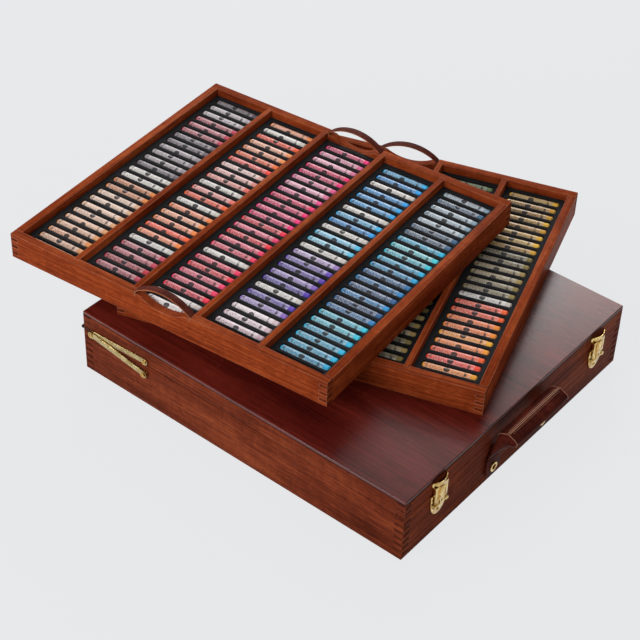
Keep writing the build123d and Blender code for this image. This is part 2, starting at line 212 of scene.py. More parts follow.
def new_rod(name, radius, length, centre, axis, sides=24):
    """A round bar, ready to be shaped."""
    nothing()
    turn = Vector((0, 0, 1)).rotation_difference(Vector(axis)).to_euler()
    bpy.ops.mesh.primitive_cylinder_add(
        vertices=sides, radius=radius, depth=length, location=centre, rotation=turn)
    return named(name)


def modify(piece, kind, **settings):
    """Adds a modifier and applies it."""
    only(piece)
    step = piece.modifiers.new(kind.title(), kind)
    for key, value in settings.items():
        setattr(step, key, value)
    bpy.ops.object.modifier_apply(modifier=step.name)
    return piece


def bevelled(piece, width, segments=2, angle=35, material=-1):
    return modify(piece, "BEVEL", width=width, segments=segments, limit_method="ANGLE",
                  angle_limit=math.radians(angle), material=material, harden_normals=False)


def smooth(piece, angle=40):
    only(piece)
    bpy.ops.object.shade_smooth_by_angle(angle=math.radians(angle))
    return piece


def joined(name, pieces):
    """Joins pieces into one mesh."""
    nothing()
    for piece in pieces:
        piece.select_set(True)
    bpy.context.view_layer.objects.active = pieces[0]
    if len(pieces) > 1:
        bpy.ops.object.join()
    pieces[0].name = name
    pieces[0].data.name = name
    return pieces[0]


def copied(piece, name, place):
    """A copy with its own mesh, moved by a matrix that goes into the mesh."""
    twin = bpy.data.objects.new(name, piece.data.copy())
    bpy.context.scene.collection.objects.link(twin)
    twin.data.transform(place)
    return twin


def removed(piece):
    bpy.data.objects.remove(piece)


def outward(piece):
    """Faces recalculated to point out."""
    editing(piece)
    bpy.ops.mesh.select_all(action="SELECT")
    bpy.ops.mesh.remove_doubles(threshold=1e-6)
    bpy.ops.mesh.normals_make_consistent(inside=False)
    done()
    return piece


def dress(piece, material, *more):
    """Gives a piece its finishes, and keeps which face has which."""
    parts = [face.material_index for face in piece.data.polygons]
    piece.data.materials.clear()
    for finish in (material, *more):
        piece.data.materials.append(finish)
    for face, part in zip(piece.data.polygons, parts):
        face.material_index = min(part, len(more))
    return piece


def settle(piece, body, slot, *nodes):
    """The piece rides on its body and stands for its CAD nodes, which are hidden. The slot argument is not
    used.
    """
    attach(piece, body)
    if nodes:
        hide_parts(*nodes)
    return piece


def cad_copy(node, name):
    """A merged copy of a CAD node's mesh with its flat faces whole again."""
    nothing()
    piece = bpy.data.objects.new(name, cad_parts[node].data.copy())
    bpy.context.scene.collection.objects.link(piece)
    only(piece)
    if piece.data.has_custom_normals:
        bpy.ops.mesh.customdata_custom_splitnormals_clear()
    editing(piece)
    bpy.ops.mesh.select_all(action="SELECT")
    bpy.ops.mesh.remove_doubles(threshold=2e-6)
    bpy.ops.mesh.dissolve_limited(angle_limit=math.radians(0.6))
    done()
    return piece


# ================================================================ node-tree helpers
def rgb(r, g, b):
    """A linear colour from a colour as the eye reads it, 0 to 255."""
    def linear(value):
        value /= 255
        return value / 12.92 if value <= 0.04045 else ((value + 0.055) / 1.055) ** 2.4
    return (linear(r), linear(g), linear(b), 1.0)


class Tree:
    """A small hand for wiring one material's nodes."""

    def __init__(self, name):
        self.material = bpy.data.materials.new(name)
        self.material.use_nodes = True
        self.nodes = self.material.node_tree.nodes
        self.links = self.material.node_tree.links
        self.shader = self.nodes["Principled BSDF"]

    def node(self, kind, **settings):
        made = self.nodes.new(kind)
        for key, value in settings.items():
            setattr(made, key, value)
        return made

    def wire(self, source, target):
        self.links.new(source, target)

    def fill(self, made, values):
        for key, value in values.items():
            if hasattr(value, "is_output"):
                self.wire(value, made.inputs[key])
            else:
                made.inputs[key].default_value = value
        return made

    def coords(self, place=(0, 0, 0), turn=0.0, scale=(1, 1, 1)):
        """Object coordinates about a place, turned about the vertical, then stretched."""
        source = self.node("ShaderNodeTexCoord").outputs["Object"]
        centred = self.node("ShaderNodeMapping", vector_type="TEXTURE")
        self.fill(centred, {"Vector": source, "Location": place, "Rotation": (0, 0, turn)})
        stretched = self.node("ShaderNodeMapping", vector_type="POINT")
        self.fill(stretched, {"Vector": centred.outputs[0], "Scale": scale})
        return stretched.outputs[0]

    def stretch(self, source, scale):
        made = self.node("ShaderNodeMapping", vector_type="POINT")
        return self.fill(made, {"Vector": source, "Scale": scale}).outputs[0]

    def noise(self, vector, scale, detail=2.0, rough=0.5, distortion=0.0):
        made = self.node("ShaderNodeTexNoise")
        self.fill(made, {"Vector": vector, "Scale": scale, "Detail": detail, "Roughness": rough,
                         "Distortion": distortion})
        return made.outputs["Fac"]

    def ramp(self, fac, *stops):
        """Colour ramp from (place, colour) stops; a bare number is a grey."""
        made = self.node("ShaderNodeValToRGB")
        points = made.color_ramp.elements
        while len(points) < len(stops):
            points.new(0.5)
        for point, (place, colour) in zip(points, stops):
            point.position = place
            point.color = (colour, colour, colour, 1.0) if isinstance(colour, (int, float)) else colour
        self.wire(fac, made.inputs["Fac"])
        return made.outputs["Color"]

    def mix(self, fac, a, b):
        made = self.node("ShaderNodeMix", data_type="RGBA")
        for key, value in ((0, fac), (6, a), (7, b)):
            if hasattr(value, "is_output"):
                self.wire(value, made.inputs[key])
            else:
                made.inputs[key].default_value = value
        return made.outputs[2]

    def math(self, kind, *values):
        made = self.node("ShaderNodeMath", operation=kind)
        for index, value in enumerate(values):
            if hasattr(value, "is_output"):
                self.wire(value, made.inputs[index])
            else:
                made.inputs[index].default_value = value
        return made.outputs[0]

    def band(self, value, low, high, soft):
        """1 between low and high, 0 outside, with soft edges."""
        rise = self.node("ShaderNodeMapRange", interpolation_type="SMOOTHSTEP")
        self.fill(rise, {"Value": value, "From Min": low - soft, "From Max": low + soft})
        fall = self.node("ShaderNodeMapRange", interpolation_type="SMOOTHSTEP")
        self.fill(fall, {"Value": value, "From Min": high - soft, "From Max": high + soft,
                         "To Min": 1, "To Max": 0})
        return self.math("MULTIPLY", rise.outputs[0], fall.outputs[0])

    def oval(self, u, v, u_middle, v_middle, u_half, v_half):
        """1 inside an oval spot, 0 outside."""
        a = self.math("DIVIDE", self.math("SUBTRACT", u, u_middle), u_half)
        b = self.math("DIVIDE", self.math("SUBTRACT", v, v_middle), v_half)
        far = self.math("MULTIPLY_ADD", a, a, self.math("MULTIPLY", b, b))
        return self.ramp(far, (0.8, 1.0), (1.0, 0.0))

    def attribute(self, name):
        return self.node("ShaderNodeAttribute", attribute_name=name, attribute_type="GEOMETRY")

    def bump(self, height, strength, distance):
        made = self.node("ShaderNodeBump")
        self.fill(made, {"Height": height, "Strength": strength, "Distance": distance})
        self.wire(made.outputs[0], self.shader.inputs["Normal"])

    def finish(self, **values):
        """Constant sockets on the shader."""
        names = {"rough": "Roughness", "metal": "Metallic", "specular": "Specular IOR Level",
                 "coat": "Coat Weight", "coat_rough": "Coat Roughness"}
        for key, value in values.items():
            target = self.shader.inputs[names[key]]
            if hasattr(value, "is_output"):
                self.wire(value, target)
            else:
                target.default_value = value
        return self.material

    def colour(self, source):
        target = self.shader.inputs["Base Color"]
        if hasattr(source, "is_output"):
            self.wire(source, target)
        else:
            target.default_value = source


# ================================================================ finishes
def stained_wood(name, shades, grain, place=(0, 0, 0), turn=0.0, gloss=0.42, pores=0.5, figure=0.32,
                 shine=0.01):
    """Stained, lacquered hardwood. shades run dark, middle, light; grain is 0 or 90 degrees from local X.
    A smaller gloss value gives a sharper reflection, and a larger shine a brighter one."""
    tree = Tree(name)
    angle = turn + math.radians(grain)
    source = tree.coords(place, angle)
    fibre = tree.noise(tree.stretch(source, (11, 330, 330)), 1.0, 4.0, 0.6, 0.5)
    cloud = tree.noise(tree.stretch(source, (6, 22, 22)), 1.0, 3.0, 0.55)
    ribbon = tree.noise(tree.stretch(source, (90, 18, 40)), 1.0, 2.0, 0.5, 0.8)
    mixed = tree.math("MULTIPLY_ADD", fibre, 0.5, tree.math("MULTIPLY", cloud, 0.5))
    mixed = tree.math("MULTIPLY_ADD", tree.math("SUBTRACT", ribbon, 0.5), figure * 0.5, mixed)
    dark, middle, light = shades
    tone = tree.ramp(mixed, (0.32, dark), (0.5, middle), (0.68, light))
    pore = tree.noise(tree.stretch(source, (110, 1700, 1700)), 1.0, 1.0, 0.5)
    pore = tree.ramp(pore, (0.56, 0.0), (0.66, 1.0))
    tone = tree.mix(tree.math("MULTIPLY", pore, pores), tone, shaded(dark, 0.4))
    normal = tree.node("ShaderNodeTexCoord").outputs["Normal"]
    turned = tree.node("ShaderNodeVectorRotate", rotation_type="Z_AXIS")
    tree.fill(turned, {"Vector": normal, "Angle": -angle})
    along = tree.node("ShaderNodeSeparateXYZ")
    tree.wire(turned.outputs[0], along.inputs[0])
    end = tree.ramp(tree.math("ABSOLUTE", along.outputs["X"]), (0.6, 0.0), (0.85, 1.0))
    tone = tree.mix(tree.math("MULTIPLY", end, 0.6), tone, shaded(dark, 0.55))
    tree.colour(tone)
    rough = tree.math("MULTIPLY_ADD", cloud, 0.08, gloss - 0.04)
    rough = tree.math("ADD", rough, tree.math("MULTIPLY", end, 0.15))
    tree.bump(tree.math("MULTIPLY_ADD", pore, -0.6, tree.math("MULTIPLY", fibre, 0.5)), 0.035, 0.0003)
    return tree.finish(rough=rough, specular=shine)


def shaded(colour, part):
    """The same colour, darker or lighter."""
    return tuple(min(1.0, part * value) for value in colour[:3]) + (1.0,)


def brass(name, base, worn, rough=0.15, ribs=0.0, dents=0.45):
    """Polished brass with faint stains, and fine cross ribs where it is asked for."""
    tree = Tree(name)
    source = tree.coords()
    stain = tree.noise(source, 90.0, 4.0, 0.6)
    tone = tree.ramp(stain, (0.35, worn), (0.62, base))
    place = tree.node("ShaderNodeSeparateXYZ")
    tree.wire(source, place.inputs[0])
    wave = tree.math("SINE", tree.math("MULTIPLY", place.outputs["Y"], math.tau / RIB_PITCH))
    hollow = tree.math("MULTIPLY", tree.ramp(wave, (0.0, 1.0), (0.4, 0.0)), ribs)
    tone = tree.mix(hollow, tone, rgb(70, 54, 30))
    tree.colour(tone)
    dent = tree.noise(source, 320.0, 2.0, 0.5)
    height = tree.math("MULTIPLY_ADD", wave, ribs, tree.math("MULTIPLY", dent, 1.6))
    tree.bump(height, dents, 0.0006)
    return tree.finish(rough=tree.math("MULTIPLY_ADD", stain, 0.14, rough - 0.07), metal=1.0)


def leather(name, shade, worn, scale=900.0, rough=0.42, coat=0.1, depth=0.35):
    """Dyed leather with a fine pebble grain and slightly worn high spots."""
    tree = Tree(name)
    source = tree.coords()
    cells = tree.node("ShaderNodeTexVoronoi", feature="DISTANCE_TO_EDGE")
    tree.fill(cells, {"Vector": source, "Scale": scale})
    pebble = tree.ramp(cells.outputs["Distance"], (0.0, 0.0), (0.22, 1.0))
    cloud = tree.noise(source, 60.0, 4.0, 0.6)
    tone = tree.mix(tree.ramp(cloud, (0.42, 0.0), (0.7, 1.0)), shade, worn)
    tone = tree.mix(tree.math("MULTIPLY", tree.math("SUBTRACT", 1.0, pebble), 0.4), tone,
                    shaded(shade, 0.4))
    tree.colour(tone)
    tree.bump(pebble, depth, 0.0003)
    return tree.finish(rough=tree.math("MULTIPLY_ADD", cloud, 0.2, rough - 0.1), coat=coat, coat_rough=0.3,
                       specular=0.03)


def plain(name, shade, rough, metal=0.0, grit=0.06, scale=400.0):
    """A quiet finish with a little unevenness in colour and gloss."""
    tree = Tree(name)
    cloud = tree.noise(tree.coords(), scale, 3.0, 0.6)
    tree.colour(tree.ramp(cloud, (0.3, shaded(shade, 1 - 2 * grit)), (0.7, shaded(shade, 1 + 2 * grit))))
    tree.bump(cloud, 0.1, 0.0002)
    return tree.finish(rough=rough, metal=metal)


def foam_black():
    """Closed-cell foam: almost black, dull, finely pitted."""
    tree = Tree("foam_black")
    source = tree.coords()
    cells = tree.node("ShaderNodeTexVoronoi")
    tree.fill(cells, {"Vector": source, "Scale": 1100.0})
    cloud = tree.noise(source, 35.0, 3.0, 0.6)
    tree.colour(tree.ramp(cloud, (0.3, rgb(20, 20, 22)), (0.7, rgb(36, 36, 39))))
    tree.bump(cells.outputs["Distance"], 0.3, 0.0004)
    return tree.finish(rough=0.9, specular=0.25)


def wrapper_paper():
    """Tinted paper wrapper: a fine ring and dots near the ends, an oval plain mark and faint specks."""
    tree = Tree("wrapper_paper")
    tint = tree.attribute("tint").outputs["Color"]
    spot = tree.attribute("spot").outputs["Vector"]
    along = tree.node("ShaderNodeSeparateXYZ")
    tree.wire(spot, along.inputs[0])
    u, v = along.outputs["X"], along.outputs["Y"]
    fold = tree.noise(tree.coords(), 300.0, 3.0, 0.6)
    blotch = tree.noise(tree.stretch(spot, (30, 3.0, 1)), 1.0, 3.0, 0.6)
    tone = tree.mix(tree.ramp(blotch, (0.48, 0.0), (0.6, 0.42)), tint, rgb(244, 242, 242))
    tone = tree.mix(tree.math("MULTIPLY", fold, 0.05), tone, rgb(120, 110, 110))
    wobble = tree.noise(tree.stretch(spot, (1, 3, 1)), 1.0, 1.0)
    u = tree.math("MULTIPLY_ADD", tree.math("SUBTRACT", wobble, 0.5), 0.02, u)
    ring = tree.math("MAXIMUM", tree.band(u, -0.85, -0.81, 0.008), tree.band(u, 0.53, 0.575, 0.010))
    side = tree.ramp(tree.noise(tree.stretch(spot, (2, 4, 1)), 1.0, 0.0), (0.40, 0.35), (0.52, 1.0))
    ring = tree.math("MULTIPLY", ring, side)
    dot = tree.oval(u, v, -0.885, 0.10, 0.020, 0.20)
    stamp = tree.oval(u, v, -0.108, 0.05, 0.125, 0.42)
    second = tree.oval(u, v, 0.60, 0.0, 0.028, 0.34)
    specks = tree.noise(tree.stretch(spot, (64, 5, 1)), 1.0, 1.0)
    specks = tree.ramp(specks, (0.54, 0.0), (0.60, 1.0))
    words = tree.math("MAXIMUM", tree.band(u, -0.74, -0.28, 0.02), tree.band(u, 0.06, 0.48, 0.02))
    words = tree.math("MULTIPLY", words, tree.band(tree.math("ABSOLUTE", v), -1.0, 0.30, 0.06))
    ink = tree.math("MAXIMUM", tree.math("MULTIPLY", ring, 0.9), tree.math("MULTIPLY", stamp, 0.92))
    ink = tree.math("MAXIMUM", ink, tree.math("MULTIPLY", tree.math("MAXIMUM", dot, second), 0.75))
    ink = tree.math("MAXIMUM", ink, tree.math("MULTIPLY", tree.math("MULTIPLY", words, specks), 0.75))
    tone = tree.mix(ink, tone, rgb(30, 26, 32))
    tree.colour(tone)
    tree.bump(fold, 0.3, 0.0003)
    return tree.finish(rough=0.3, specular=0.5)


def chalk():
    """The bare pastel stick: saturated pigment, dusty and matt."""
    tree = Tree("chalk")
    pigment = tree.attribute("pigment").outputs["Color"]
    dust = tree.noise(tree.coords(), 500.0, 4.0, 0.7)
    tone = tree.mix(tree.math("MULTIPLY", dust, 0.12), pigment, rgb(225, 222, 220))
    tree.colour(tone)
    tree.bump(dust, 0.4, 0.0003)
    return tree.finish(rough=0.6, specular=0.35)


# ================================================================ where the trays lie
def tray_placement(tray):
    """A tray's matrix, from the corners of its bottom panel: local X runs across the columns."""
    points = [v.co.copy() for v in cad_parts[f"{tray}_bottom"].data.vertices]
    low = min(points, key=lambda p: p.y)
    right = max(points, key=lambda p: p.x)
    left = min(points, key=lambda p: p.x)
    edges = [(right - low), (left - low)]
    longest = max(edges, key=lambda e: e.xy.length)
    turn = math.atan2(longest.y, longest.x)
    if turn > 0:
        turn -= math.pi
    below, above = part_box(f"{tray}_bottom")
    centre = (below + above) / 2
    return Matrix.Translation((centre.x, centre.y, below.z)) @ Matrix.Rotation(turn, 4, "Z"), turn


TRAYS = {name: tray_placement(name) for name in ("upper_tray", "lower_tray")}
TRAY_BODY = {"upper_tray": "tray_upper", "lower_tray": "tray_lower"}


def tray_points(tray, node):
    """The points of a tray's node in the tray's own frame."""
    back = TRAYS[tray][0].inverted()
    return [back @ v.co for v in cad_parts[f"{tray}_{node}"].data.vertices]


def corners(points):
    """Lowest and highest corner of some points."""
    return tuple(Vector([pick(p[i] for p in points) for i in range(3)]) for pick in (min, max))


def tray_span(tray, node):
    """Lowest and highest corner of a tray's node in the tray's own frame."""
    return corners(tray_points(tray, node))


# ================================================================ wooden case
CASE_SHADES = (rgb(72, 28, 17), rgb(114, 50, 30), rgb(152, 74, 44))
LID_SHADES = (rgb(58, 12, 10), rgb(92, 24, 18), rgb(122, 40, 28))
TRAY_SHADES = (rgb(94, 34, 15), rgb(142, 60, 28), rgb(180, 88, 44))
CASE_ARRIS_SHADES = (rgb(96, 44, 30), rgb(146, 78, 56), rgb(184, 116, 88))
TRAY_ARRIS_SHADES = (rgb(120, 62, 44), rgb(160, 92, 66), rgb(190, 122, 92))
# painted shade: near-black wood that stands in for the shade in the grooves where the parts meet
PAINTED_GROOVE_SHADES = (rgb(14, 6, 5), rgb(24, 10, 8), rgb(36, 16, 12))


def case_boards():
    """The eight boards, the bottom panel and the lid's panel, each with softened arrises. The arris faces
    along the joint between lid and base, and under the lid's panel, are painted near-black as a painted
    shade for the grooves there.
    """
    along = stained_wood("case_wood_long", CASE_SHADES, 0)
    across = stained_wood("case_wood_deep", CASE_SHADES, 90)
    worn = stained_wood("case_wood_arris", CASE_ARRIS_SHADES, 0, gloss=0.3)
    # painted shade for the grooves at the joints, not a dark joint in the wood
    seam = stained_wood("case_wood_painted_groove_shade", PAINTED_GROOVE_SHADES, 0, gloss=0.6)
    panel_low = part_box("lid_top")[0].z
    joints = (panel_low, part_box("base_left_board")[1].z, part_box("lid_left_board")[0].z)
    for half, body in (("base", "case_base"), ("lid", "lid")):
        for side in SIDES:
            node = f"{half}_{side}_board"
            grain = along if side in ("front", "back") else across
            piece = dress(cad_copy(node, f"{node}_wood"), grain, worn, seam)
            bevelled(piece, BOARD_ARRIS, material=1)
            # arris faces at the joints get the painted groove shade
            for face in piece.data.polygons:
                far = min(abs(face.center.z - level) for level in joints)
                if face.material_index == 1 and far < BOARD_ARRIS:
                    face.material_index = 2
            settle(smooth(piece), body, "case_wood", node)
    floor = bevelled(cad_copy("base_bottom", "base_bottom_wood"), BOARD_ARRIS)
    settle(smooth(dress(floor, across)), "case_base", "case_wood", "base_bottom")
    lid = stained_wood("lid_wood", LID_SHADES, 90, gloss=0.27, pores=0.3, figure=0.14, shine=0.55)
    top = dress(cad_copy("lid_top", "lid_top_wood"), lid, worn, seam)
    bevelled(top, LID_ARRIS, material=1)
    # the lid panel's lower arris gets the painted groove shade
    for face in top.data.polygons:
        if face.material_index == 1 and face.center.z < panel_low + LID_ARRIS:
            face.material_index = 2
    settle(smooth(top), "lid", "lid_wood", "lid_top")


def hinge():
    """Dark metal on the continuous hinge."""
    dark = plain("hinge_metal", rgb(46, 42, 38), 0.4, metal=1.0)
    for node in ("hinge_base_leaf", "hinge_lid_leaf", "hinge_pin"):
        dress(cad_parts[node], dark)


# ================================================================ trays
def tray_woodwork(tray):
    matrix, turn = TRAYS[tray]
    place = tuple(matrix.translation)
    body = TRAY_BODY[tray]
    long_grain = stained_wood(f"{tray}_wood_long", TRAY_SHADES, 0, place, turn)
    deep_grain = stained_wood(f"{tray}_wood_deep", TRAY_SHADES, 90, place, turn)
    worn = stained_wood(f"{tray}_wood_arris", TRAY_ARRIS_SHADES, 0, place, turn)
    for side in SIDES:
        node = f"{tray}_{side}_board"
        grain = long_grain if side in ("front", "back") else deep_grain
        piece = dress(cad_copy(node, f"{node}_wood"), grain, worn)
        bevelled(piece, TRAY_ARRIS, material=1)
        settle(smooth(piece), body, "tray_wood", node)
    floor = bevelled(cad_copy(f"{tray}_bottom", f"{tray}_bottom_wood"), TRAY_ARRIS)
    settle(smooth(dress(floor, long_grain)), body, "tray_wood", f"{tray}_bottom")
    bars = dress(cad_copy(f"{tray}_dividers", f"{tray}_dividers_wood"), deep_grain, worn)
    settle(smooth(bevelled(bars, TRAY_ARRIS, material=1)), body, "tray_wood", f"{tray}_dividers")


def row_places(low, high, front):
    """Middles of a column's sticks: the row tucked under the front board, then the rows of the solids."""
    pitch = (high.y - low.y - 2 * STICK_RADIUS) / (STICK_ROWS - 1)
    rows = [low.y + STICK_RADIUS + row * pitch for row in range(STICK_ROWS)]
    return [max(rows[0] - pitch, front + STICK_RADIUS + FRONT_ROW_GAP), *rows]


def insert_span(tray, column):
    """Lowest and highest corner of one column's foam block in the tray's own frame."""
    spans = [tray_span(tray, f"pastels_{each + 1}") for each in range(5)]
    reach = abs(spans[1][0].x - spans[0][0].x) / 2
    middle = (spans[column][0].x + spans[column][1].x) / 2
    near = [p for p in tray_points(tray, "foam") if abs(p.x - middle) < reach]
    return corners(near)


def pocket_cutter(floor, top):
    """One pocket's shape: round corners, a small chamfer at its mouth, and on up above the foam."""
    mouth = top - FOAM_ARRIS
    piece = new_cube("pocket", (-POCKET_HALF, -POCKET_WIDE, floor), (POCKET_HALF, POCKET_WIDE, mouth))
    editing(piece, "EDGE")
    pick_edges(piece, lambda edge: (edge.verts[0].co - edge.verts[1].co).xy.length < 1e-5)
    bpy.ops.mesh.bevel(offset=POCKET_ROUND, segments=3, affect="EDGES")
    bpy.ops.mesh.select_mode(type="FACE")
    pick_faces(piece, lambda face: face.normal.z > 0.9)
    bpy.ops.mesh.extrude_region_move(TRANSFORM_OT_translate={"value": (0, 0, FOAM_ARRIS)})
    flare = (1 + FOAM_ARRIS / POCKET_HALF, 1 + FOAM_ARRIS / POCKET_WIDE, 1)
    bpy.ops.transform.resize(value=flare, center_override=(0, 0, 0))
    bpy.ops.mesh.extrude_region_move(TRANSFORM_OT_translate={"value": (0, 0, 2 * MM)})
    done()
    return piece


def foam_inserts(tray, black):
    """Five foam blocks, each with a rounded pocket cut out under every pastel."""
    node = f"{tray}_foam"
    heights = [p.z for p in tray_points(tray, "foam")]
    floor = min({round(z, 5) for z in heights} - {round(min(heights), 5)})
    cutter = pocket_cutter(floor, max(heights))
    spans = [tray_span(tray, f"pastels_{column + 1}") for column in range(5)]
    blocks = []
    for column, (low, high) in enumerate(spans):
        centre = (low + high) / 2
        corner, across = insert_span(tray, column)
        block = new_cube(f"{node}_block_{column}", corner, across)
        rows = [copied(cutter, f"pocket_{row}", Matrix.Translation((centre.x, y, 0)))
                for row, y in enumerate(row_places(low, high, corner.y))]
        tool = joined("pockets", rows)
        blocks.append(modify(block, "BOOLEAN", operation="DIFFERENCE", solver="EXACT", object=tool))
        removed(tool)
    removed(cutter)
    piece = joined(f"{node}_cut", blocks)
    piece.data.transform(TRAYS[tray][0])
    settle(smooth(dress(piece, black), 30), TRAY_BODY[tray], "black_foam", node)


def all_trays():
    black = foam_black()
    for tray in TRAYS:
        tray_woodwork(tray)
        foam_inserts(tray, black)


def tray_straps():
    """Leather bands: dark grain outside, a paler orange-brown cut along both edges."""
    skin = leather("strap_leather", rgb(84, 34, 26), rgb(116, 56, 44), 620.0, 0.5, coat=0.0)
    edge = leather("strap_cut_edge", rgb(150, 84, 52), rgb(186, 112, 72), 1500.0, 0.6, depth=0.2)
    for tray, (matrix, _) in TRAYS.items():
        node = f"{tray}_straps"
        piece = bevelled(dress(cad_copy(node, f"{node}_band"), skin, edge), STRAP_ARRIS, 2, 50)
        across = matrix.to_3x3() @ Vector((0, 1, 0))
        for face in piece.data.polygons:
            face.material_index = 1 if abs(face.normal.dot(across)) > 0.75 else 0
        settle(smooth(piece, 45), TRAY_BODY[tray], "strap_leather", node)


# ================================================================ pastels
def stick_shape():
    """One wrapped stick along X, centred: paper tube, bare stick at one end, a sliver of it at the other."""
    half = STICK_LENGTH / 2
    middle = (PAPER_START + PAPER_END) / 2
    piece = new_rod("stick", STICK_RADIUS, PAPER_END - PAPER_START, (middle, 0, 0), (1, 0, 0), STICK_SIDES)
    editing(piece)
    for sign, reach in ((1, half - PAPER_END), (-1, half + PAPER_START)):
        def end_cap(face, sign=sign):
            return sign * face.normal.x > 0.9
        pick_faces(piece, end_cap)
        bpy.ops.mesh.inset(thickness=PAPER_STEP)
        for step in (reach - STICK_TAPER, STICK_TAPER):
            bpy.ops.mesh.extrude_region_move(TRANSFORM_OT_translate={"value": (sign * step, 0, 0)})
        bpy.ops.transform.resize(value=(1, STICK_TIP, STICK_TIP), center_override=(0, 0, 0))
    done()
    outward(piece)
    for face in piece.data.polygons:
        face.material_index = 0 if PAPER_START - 0.01 * MM < face.center.x < PAPER_END + 0.01 * MM else 1
    for face in piece.data.polygons:
        if abs(face.normal.x) > 0.9 and face.area < 4 * MM * MM:
            face.material_index = 0
    smooth(piece, 35)
    return piece


def mix_shade(a, b, part):
    return tuple(x + (y - x) * part for x, y in zip(a, b))


def vivid(shade):
    """The bare stick's colour: its wrapper's hue, but fuller. Greys and whites stay as they are."""
    low, high = min(shade), max(shade)
    part = 0.9 * math.sqrt((high - low) / high)
    return [min(1.0, (value - part * low) * (1 + 0.6 * part)) for value in shade]


def linear_shade(shade):
    return tuple(rgb(*shade)[:3])


# Plain pigment families, chosen by name. Shades between the first and the last are worked out.
WHITES = ((235, 225, 225), (240, 232, 228))
BLUSH_WHITES = ((235, 220, 225), (225, 150, 180))
EARTHS = ((240, 210, 190), (200, 120, 70))
STONES = ((205, 195, 200), (95, 85, 95))
WINES = ((190, 110, 120), (160, 10, 40))
CORALS = ((245, 190, 160), (240, 70, 10))
BLUSHES = ((240, 205, 200), (225, 50, 40))
ROSES = ((220, 100, 130), (220, 10, 40))
PINKS = ((240, 180, 200), (215, 20, 90))
LILACS = ((200, 180, 220), (80, 60, 160))
SKIES = ((150, 215, 240), (0, 120, 200))
DEEP_BLUES = ((0, 130, 190), (10, 70, 120))
SEAS = ((130, 215, 220), (0, 140, 190))
SLATES = ((200, 215, 225), (60, 90, 120))
UMBERS = ((150, 100, 70), (80, 50, 40))
DUSKS = ((170, 150, 170), (80, 60, 90))
SAGES = ((160, 180, 140), (60, 90, 60))
KHAKIS = ((190, 170, 130), (110, 100, 60))
AMBERS = ((250, 160, 40), (240, 50, 20))
OCHRES = ((220, 180, 90), (170, 120, 20))

# Each column from its front row to its back row: runs of (how many sticks, family), 25 sticks in all
COLUMNS = {
    "upper_tray": (((12, EARTHS), (7, STONES), (3, WINES), (3, STONES)),
                   ((6, WINES), (7, CORALS), (6, BLUSHES), (6, CORALS)),
                   ((2, WHITES), (11, ROSES), (12, PINKS)),
                   ((4, BLUSH_WHITES), (8, LILACS), (13, SKIES)),
                   ((7, SEAS), (6, DEEP_BLUES), (5, SEAS), (7, SLATES))),
    "lower_tray": (((13, UMBERS), (12, EARTHS)),
                   ((13, DUSKS), (12, LILACS)),
                   ((13, SAGES), (12, KHAKIS)),
                   ((13, KHAKIS), (12, SAGES)),
                   ((10, AMBERS), (7, KHAKIS), (8, OCHRES))),
}
WHITE_SHARE = 0.07
WHITE_STICK = (225, 220, 215)
PALE_PAPER = (222, 214, 212)


def column_shades(runs, dice):
    """Pigments of one column: each stick falls somewhere in its run's family, and a few are white."""
    shades = []
    for count, (pale, deep) in runs:
        for _ in range(count):
            part = dice.choice((dice.uniform(0, 0.4), dice.uniform(0.6, 1)))
            if dice.random() < WHITE_SHARE:
                shades.append(WHITE_STICK)
            else:
                shades.append(mix_shade(pale, deep, part))
    return shades


def paint(piece, name, colour):
    layer = piece.data.attributes.new(name, "FLOAT_COLOR", "POINT")
    values = list(colour) + [1.0]
    layer.data.foreach_set("color", values * len(piece.data.vertices))


def mark_places(piece):
    """Keeps each point's place on the stick: -1 to 1 along it, and round it in half turns from the top."""
    layer = piece.data.attributes.new("spot", "FLOAT_VECTOR", "POINT")
    half = STICK_LENGTH / 2
    values = []
    for vert in piece.data.vertices:
        values += [vert.co.x / half, math.atan2(vert.co.y, vert.co.z) / math.pi * 2, 0.0]
    layer.data.foreach_set("vector", values)


def pastel_column(tray, column, stick, dice):
    """One column's sticks, each a copy turned a little and coloured for itself."""
    node = f"{tray}_pastels_{column + 1}"
    matrix = TRAYS[tray][0]
    low, high = tray_span(tray, f"pastels_{column + 1}")
    centre = (low + high) / 2
    shades = column_shades(COLUMNS[tray][column], dice)
    places = row_places(low, high, insert_span(tray, column)[0].y)
    sticks = []
    for row, (y, shade) in enumerate(zip(places, shades)):
        spin = Matrix.Rotation(dice.uniform(0.1, 1.0), 4, "X")
        slip = dice.uniform(-STICK_SLIP, STICK_SLIP)
        stand = matrix @ Matrix.Translation((centre.x + slip, y, centre.z)) @ spin
        twin = copied(stick, f"{node}_{row}", stand)
        pure = linear_shade(shade)
        paint(twin, "pigment", vivid(pure))
        paint(twin, "tint", mix_shade(pure, linear_shade(PALE_PAPER), PAPER_PALE))
        sticks.append(twin)
    piece = joined(f"{node}_wrapped", sticks)
    settle(piece, TRAY_BODY[tray], "pastel_paper", node)


def all_pastels():
    paper = wrapper_paper()
    pigment = chalk()
    stick = stick_shape()
    mark_places(stick)
    for finish in (paper, pigment):
        stick.data.materials.append(finish)
    dice = random.Random(25)
    for tray in TRAYS:
        for column in range(5):
            pastel_column(tray, column, stick, dice)
    removed(stick)


# ================================================================ brass and leather
def polished(node, body, metal):
    """A fitting with its edges softened as polishing does."""
    piece = bevelled(cad_copy(node, f"{node}_metal"), FITTING_ARRIS, 2, 30)
    return settle(smooth(dress(piece, metal), 45), body, "brass", node)


def carved(piece, *tools):
    """Cuts the tools out of a piece."""
    tool = joined("tool", list(tools))
    modify(piece, "BOOLEAN", operation="DIFFERENCE", solver="EXACT", object=tool)
    removed(tool)
    return piece


